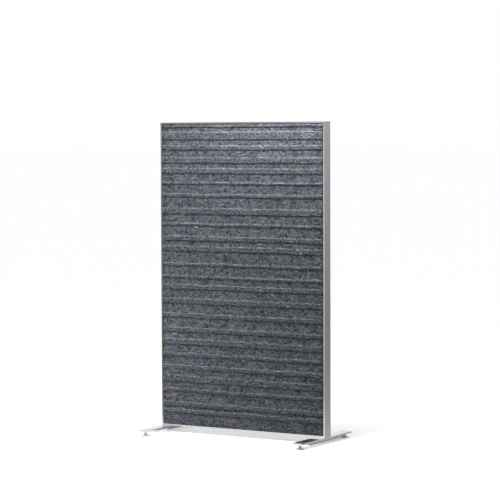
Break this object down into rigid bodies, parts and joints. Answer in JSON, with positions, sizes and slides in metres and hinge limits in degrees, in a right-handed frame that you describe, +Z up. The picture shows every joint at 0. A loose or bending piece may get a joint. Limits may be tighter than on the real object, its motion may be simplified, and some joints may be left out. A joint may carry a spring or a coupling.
{
  "type": "acoustic divider screen",
  "caption": "Free-standing acoustic divider screen: ribbed felt faces in a slim aluminium frame, on flat feet with levelling glides.",
  "frame": {"origin": "on the floor under the middle of the screen, at the centre of the bounding box's underside", "axes": "+X along the screen's width, +Y through its depth towards the rear face, +Z up; the pictured face is at -Y"},
  "size_m": [0.8, 0.42, 1.326],
  "materials": {
    "anodised_aluminium": "satin natural anodised",
    "polished_aluminium": "polished",
    "cast_aluminium": "as cast",
    "recycled_felt": "grey-blue mottled needle felt, pressed ribs",
    "absorber_fleece": "loose white polyester fleece",
    "hook_tape": "black woven hook tape",
    "zinc_plated_steel": "bright zinc plated",
    "chromed_steel": "bright plated",
    "sole_plastic": "dark grey moulded"
  },
  "bodies": {
    "screen": {"left_upright": "anodised_aluminium", "right_upright": "anodised_aluminium", "top_rail": "anodised_aluminium", "bottom_rail": "anodised_aluminium", "corner_blocks": "cast_aluminium", "corner_grub_screws": "zinc_plated_steel", "front_felt_panel": "recycled_felt", "rear_felt_panel": "recycled_felt", "front_panel_tapes": "hook_tape", "rear_panel_tapes": "hook_tape", "absorber_core": "absorber_fleece", "left_foot": "polished_aluminium", "right_foot": "polished_aluminium", "foot_bolts": "zinc_plated_steel", "glide_lock_nuts": "zinc_plated_steel"},
    "pad_front_left": {"glide_sole_front_left": "sole_plastic", "glide_disc_front_left": "chromed_steel"},
    "stud_front_left": {"glide_stud_front_left": "zinc_plated_steel"},
    "pad_front_right": {"glide_sole_front_right": "sole_plastic", "glide_disc_front_right": "chromed_steel"},
    "stud_front_right": {"glide_stud_front_right": "zinc_plated_steel"},
    "pad_rear_left": {"glide_sole_rear_left": "sole_plastic", "glide_disc_rear_left": "chromed_steel"},
    "stud_rear_left": {"glide_stud_rear_left": "zinc_plated_steel"},
    "pad_rear_right": {"glide_sole_rear_right": "sole_plastic", "glide_disc_rear_right": "chromed_steel"},
    "stud_rear_right": {"glide_stud_rear_right": "zinc_plated_steel"}
  },
  "joints": [
    {"name": "pad_slide_front_left", "type": "slide", "parent": "screen", "child": "pad_front_left", "axis": [0, 0, -1], "range_m": [0, 0.005]},
    {"name": "stud_turn_front_left", "type": "hinge", "parent": "pad_front_left", "child": "stud_front_left", "pos_m": [-0.375, -0.19, 0.0108], "axis": [0, 0, -1], "range_deg": [0, 1440]},
    {"name": "pad_slide_front_right", "type": "slide", "parent": "screen", "child": "pad_front_right", "axis": [0, 0, -1], "range_m": [0, 0.005]},
    {"name": "stud_turn_front_right", "type": "hinge", "parent": "pad_front_right", "child": "stud_front_right", "pos_m": [0.375, -0.19, 0.0108], "axis": [0, 0, -1], "range_deg": [0, 1440]},
    {"name": "pad_slide_rear_left", "type": "slide", "parent": "screen", "child": "pad_rear_left", "axis": [0, 0, -1], "range_m": [0, 0.005]},
    {"name": "stud_turn_rear_left", "type": "hinge", "parent": "pad_rear_left", "child": "stud_rear_left", "pos_m": [-0.375, 0.19, 0.0108], "axis": [0, 0, -1], "range_deg": [0, 1440]},
    {"name": "pad_slide_rear_right", "type": "slide", "parent": "screen", "child": "pad_rear_right", "axis": [0, 0, -1], "range_m": [0, 0.005]},
    {"name": "stud_turn_rear_right", "type": "hinge", "parent": "pad_rear_right", "child": "stud_rear_right", "pos_m": [0.375, 0.19, 0.0108], "axis": [0, 0, -1], "range_deg": [0, 1440]}
  ],
  "couplings": [
    {"joint": "stud_turn_front_left", "follows": "pad_slide_front_left", "rad_per_m": 5026.5},
    {"joint": "stud_turn_front_right", "follows": "pad_slide_front_right", "rad_per_m": 5026.5},
    {"joint": "stud_turn_rear_left", "follows": "pad_slide_rear_left", "rad_per_m": 5026.5},
    {"joint": "stud_turn_rear_right", "follows": "pad_slide_rear_right", "rad_per_m": 5026.5}
  ]
}
